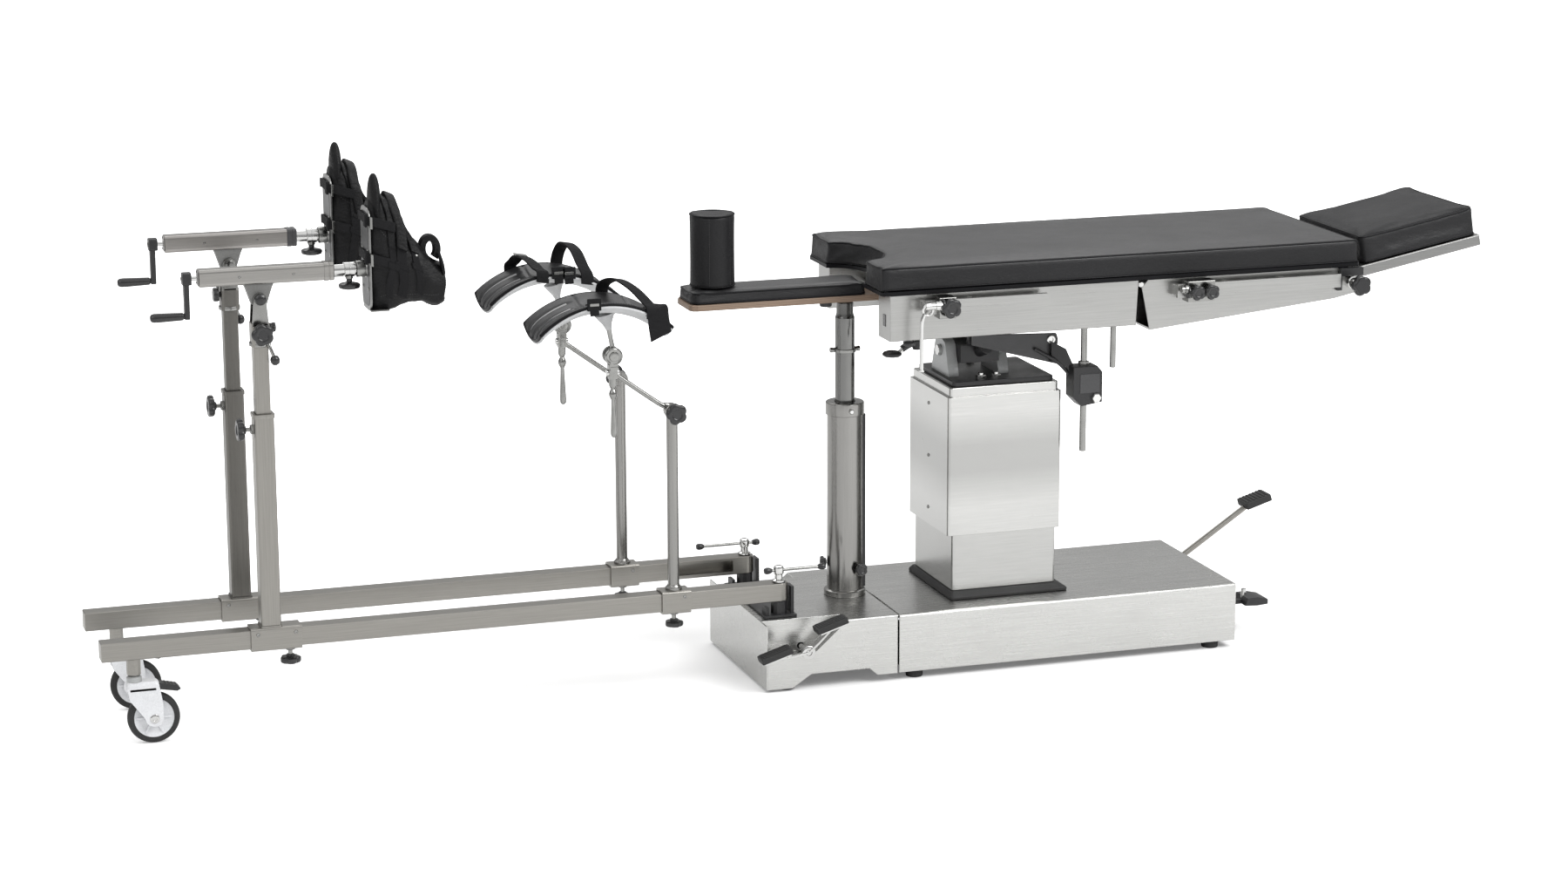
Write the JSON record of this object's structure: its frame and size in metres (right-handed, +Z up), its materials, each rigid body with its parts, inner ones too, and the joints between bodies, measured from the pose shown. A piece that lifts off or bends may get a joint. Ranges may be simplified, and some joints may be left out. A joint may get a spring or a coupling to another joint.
{
  "type": "operating table",
  "caption": "Operating table on a lifting column, with a hinged padded top, pelvic board and post, and two long traction beams with padded leg gutters and boots.",
  "frame": {"origin": "on the floor, under the middle of the whole table's bounding box", "axes": "+X towards the head end, +Y towards the far long side in the picture, +Z up"},
  "size_m": [3.1619, 0.612, 1.21],
  "materials": {
    "stainless": "satin",
    "tube_steel": "satin",
    "chrome": "polished",
    "casting": "matt",
    "black_paint": "satin",
    "black_vinyl": "satin",
    "black_rubber": "matt",
    "boot_leather": "matt",
    "laminate": "satin",
    "caster_plastic": "satin",
    "tyre_rubber": "matt",
    "shell_plastic": "satin"
  },
  "bodies": {
    "base": {"base_cover": "stainless", "front_cover": "stainless", "base_chassis": "black_paint", "column_plinth": "black_rubber", "lower_sleeve": "stainless", "support_tube": "tube_steel", "beam_pivot_bridge": "black_paint"},
    "lift": {"upper_sleeve": "stainless", "column_head": "casting"},
    "support": {"support_ram": "chrome"},
    "roll": {"tilt_yoke": "black_paint", "tilt_spindle": "chrome"},
    "top": {"seat_frame": "stainless", "seat_pad": "black_vinyl", "pad_bend": "black_vinyl", "pelvic_board": "laminate", "pelvic_pad": "black_vinyl", "perineal_post": "black_vinyl", "rail_clamp": "chrome"},
    "crank": {"table_crank": "black_paint"},
    "back": {"back_frame": "stainless", "back_pad": "black_vinyl", "back_rail_clamp": "chrome"},
    "head": {"head_plate": "stainless", "head_pad": "black_vinyl"},
    "brake": {"brake_rocker": "chrome"},
    "pump": {"pump_pedal": "chrome"},
    "release": {"release_pedal": "black_paint"},
    "beam_left": {"beam_left": "tube_steel"},
    "clamp_screw_left": {"clamp_screw_left": "chrome"},
    "caster_fork_left": {"caster_fork_left": "caster_plastic"},
    "caster_wheel_left": {"caster_wheel_left": "tyre_rubber"},
    "upright_left": {"upright_left": "tube_steel"},
    "upright_inner_left": {"upright_inner_left": "tube_steel"},
    "swivel_bracket_left": {"swivel_bracket_left": "tube_steel"},
    "traction_housing_left": {"traction_housing_left": "casting"},
    "traction_ram_left": {"traction_ram_left": "chrome"},
    "traction_crank_left": {"traction_crank_left": "black_paint"},
    "boot_left": {"boot_plate_left": "stainless", "boot_left": "boot_leather"},
    "leg_post_left": {"leg_post_left": "tube_steel"},
    "leg_arm_left": {"leg_arm_left": "chrome"},
    "gutter_left": {"leg_shell_left": "shell_plastic", "leg_pad_left": "black_vinyl"},
    "beam_right": {"beam_right": "tube_steel"},
    "clamp_screw_right": {"clamp_screw_right": "chrome"},
    "caster_fork_right": {"caster_fork_right": "caster_plastic"},
    "caster_wheel_right": {"caster_wheel_right": "tyre_rubber"},
    "upright_right": {"upright_right": "tube_steel"},
    "upright_inner_right": {"upright_inner_right": "tube_steel"},
    "swivel_bracket_right": {"swivel_bracket_right": "tube_steel"},
    "traction_housing_right": {"traction_housing_right": "casting"},
    "traction_ram_right": {"traction_ram_right": "chrome"},
    "traction_crank_right": {"traction_crank_right": "black_paint"},
    "boot_right": {"boot_plate_right": "stainless", "boot_right": "boot_leather"},
    "leg_post_right": {"leg_post_right": "tube_steel"},
    "leg_arm_right": {"leg_arm_right": "chrome"},
    "gutter_right": {"leg_shell_right": "shell_plastic", "leg_pad_right": "black_vinyl"}
  },
  "joints": [
    {"name": "column_lift", "type": "slide", "parent": "base", "child": "lift", "axis": [0, 0, 1], "range_m": [-0.11, 0.16]},
    {"name": "support_lift", "type": "slide", "parent": "base", "child": "support", "axis": [0, 0, 1], "range_m": [-0.11, 0.16]},
    {"name": "side_tilt", "type": "hinge", "parent": "lift", "child": "roll", "pos_m": [0.338, 0, 0.695], "axis": [1, 0, 0], "range_deg": [-12, 12]},
    {"name": "end_tilt", "type": "hinge", "parent": "roll", "child": "top", "pos_m": [0.3975, 0, 0.76], "axis": [0, 1, 0], "range_deg": [0, 20]},
    {"name": "crank_turn", "type": "hinge", "parent": "top", "child": "crank", "pos_m": [0.215, -0.15, 0.742], "axis": [0, 0, 1], "continuous": true},
    {"name": "back_raise", "type": "hinge", "parent": "top", "child": "back", "pos_m": [0.706, 0, 0.862], "axis": [0, -1, 0], "range_deg": [-15, 70], "deforming": ["pad_bend"]},
    {"name": "head_raise", "type": "hinge", "parent": "back", "child": "head", "pos_m": [1.24, 0, 0.845], "axis": [0, -1, 0], "range_deg": [-45, 15]},
    {"name": "brake_rock", "type": "hinge", "parent": "base", "child": "brake", "pos_m": [-0.06, -0.2, 0.088], "axis": [0, 1, 0], "range_deg": [-12, 12]},
    {"name": "pump_press", "type": "hinge", "parent": "base", "child": "pump", "pos_m": [0.942, 0.1, 0.118], "axis": [0, 1, 0], "range_deg": [0, 18], "stiffness_Nm_per_rad": 20, "springref_deg": -11.46},
    {"name": "release_press", "type": "hinge", "parent": "base", "child": "release", "pos_m": [0.942, -0.1, 0.075], "axis": [0, 1, 0], "range_deg": [0, 10], "stiffness_Nm_per_rad": 20, "springref_deg": -11.46},
    {"name": "beam_swing_left", "type": "hinge", "parent": "base", "child": "beam_left", "pos_m": [-0.097, -0.125, 0.2065], "axis": [0, 0, 1], "range_deg": [0, 25]},
    {"name": "clamp_screw_turn_left", "type": "hinge", "parent": "base", "child": "clamp_screw_left", "pos_m": [-0.097, -0.125, 0.253], "axis": [0, 0, 1], "continuous": true},
    {"name": "caster_swivel_left", "type": "hinge", "parent": "beam_left", "child": "caster_fork_left", "pos_m": [-1.513, -0.125, 0.13], "axis": [0, 0, 1], "continuous": true},
    {"name": "caster_roll_left", "type": "hinge", "parent": "caster_fork_left", "child": "caster_wheel_left", "pos_m": [-1.476, -0.125, 0.055], "axis": [0, 1, 0], "continuous": true},
    {"name": "upright_slide_left", "type": "slide", "parent": "beam_left", "child": "upright_left", "axis": [1, 0, 0], "range_m": [-0.18, 0.03]},
    {"name": "upright_raise_left", "type": "slide", "parent": "upright_left", "child": "upright_inner_left", "axis": [0, 0, 1], "range_m": [-0.08, 0.15]},
    {"name": "boot_swing_left", "type": "hinge", "parent": "upright_inner_left", "child": "swivel_bracket_left", "pos_m": [-1.224, -0.125, 0.83], "axis": [0, 0, -1], "range_deg": [0, 8]},
    {"name": "housing_tilt_left", "type": "hinge", "parent": "swivel_bracket_left", "child": "traction_housing_left", "pos_m": [-1.224, -0.125, 0.932], "axis": [0, 1, 0], "range_deg": [-12, 8]},
    {"name": "traction_pull_left", "type": "slide", "parent": "traction_housing_left", "child": "traction_ram_left", "axis": [1, 0, 0], "range_m": [-0.02, 0.04]},
    {"name": "traction_crank_turn_left", "type": "hinge", "parent": "traction_housing_left", "child": "traction_crank_left", "pos_m": [-1.348, -0.125, 0.98], "axis": [1, 0, 0], "range_deg": [-730, 1450]},
    {"name": "boot_turn_left", "type": "hinge", "parent": "traction_ram_left", "child": "boot_left", "pos_m": [-0.9975, -0.125, 0.98], "axis": [1, 0, 0], "range_deg": [-12, 25]},
    {"name": "leg_post_slide_left", "type": "slide", "parent": "beam_left", "child": "leg_post_left", "axis": [1, 0, 0], "range_m": [-0.04, 0.03]},
    {"name": "leg_arm_raise_left", "type": "hinge", "parent": "leg_post_left", "child": "leg_arm_left", "pos_m": [-0.338, -0.125, 0.629], "axis": [0, 1, 0], "range_deg": [-10, 10]},
    {"name": "gutter_tilt_left", "type": "hinge", "parent": "leg_arm_left", "child": "gutter_left", "pos_m": [-0.469, -0.125, 0.759], "axis": [0, 1, 0], "range_deg": [-15, 15]},
    {"name": "beam_swing_right", "type": "hinge", "parent": "base", "child": "beam_right", "pos_m": [-0.097, 0.125, 0.2065], "axis": [0, 0, -1], "range_deg": [0, 25]},
    {"name": "clamp_screw_turn_right", "type": "hinge", "parent": "base", "child": "clamp_screw_right", "pos_m": [-0.097, 0.125, 0.253], "axis": [0, 0, 1], "continuous": true},
    {"name": "caster_swivel_right", "type": "hinge", "parent": "beam_right", "child": "caster_fork_right", "pos_m": [-1.513, 0.125, 0.13], "axis": [0, 0, 1], "continuous": true},
    {"name": "caster_roll_right", "type": "hinge", "parent": "caster_fork_right", "child": "caster_wheel_right", "pos_m": [-1.476, 0.125, 0.055], "axis": [0, 1, 0], "continuous": true},
    {"name": "upright_slide_right", "type": "slide", "parent": "beam_right", "child": "upright_right", "axis": [1, 0, 0], "range_m": [-0.18, 0.03]},
    {"name": "upright_raise_right", "type": "slide", "parent": "upright_right", "child": "upright_inner_right", "axis": [0, 0, 1], "range_m": [-0.08, 0.15]},
    {"name": "boot_swing_right", "type": "hinge", "parent": "upright_inner_right", "child": "swivel_bracket_right", "pos_m": [-1.243, 0.125, 0.862], "axis": [0, 0, 1], "range_deg": [0, 8]},
    {"name": "housing_tilt_right", "type": "hinge", "parent": "swivel_bracket_right", "child": "traction_housing_right", "pos_m": [-1.243, 0.125, 0.964], "axis": [0, 1, 0], "range_deg": [-12, 8]},
    {"name": "traction_pull_right", "type": "slide", "parent": "traction_housing_right", "child": "traction_ram_right", "axis": [1, 0, 0], "range_m": [-0.02, 0.04]},
    {"name": "traction_crank_turn_right", "type": "hinge", "parent": "traction_housing_right", "child": "traction_crank_right", "pos_m": [-1.3775, 0.125, 1.012], "axis": [1, 0, 0], "range_deg": [-730, 1450]},
    {"name": "boot_turn_right", "type": "hinge", "parent": "traction_ram_right", "child": "boot_right", "pos_m": [-1.027, 0.125, 1.012], "axis": [-1, 0, 0], "range_deg": [-12, 25]},
    {"name": "leg_post_slide_right", "type": "slide", "parent": "beam_right", "child": "leg_post_right", "axis": [1, 0, 0], "range_m": [-0.04, 0.03]},
    {"name": "leg_arm_raise_right", "type": "hinge", "parent": "leg_post_right", "child": "leg_arm_right", "pos_m": [-0.384, 0.125, 0.653], "axis": [0, 1, 0], "range_deg": [-10, 10]},
    {"name": "gutter_tilt_right", "type": "hinge", "parent": "leg_arm_right", "child": "gutter_right", "pos_m": [-0.515, 0.125, 0.783], "axis": [0, 1, 0], "range_deg": [-15, 15]}
  ],
  "couplings": [
    {"joint": "support_lift", "follows": "column_lift", "ratio": 1},
    {"joint": "traction_crank_turn_left", "follows": "traction_pull_left", "rad_per_m": 628.32},
    {"joint": "traction_crank_turn_right", "follows": "traction_pull_right", "rad_per_m": 628.32}
  ]
}
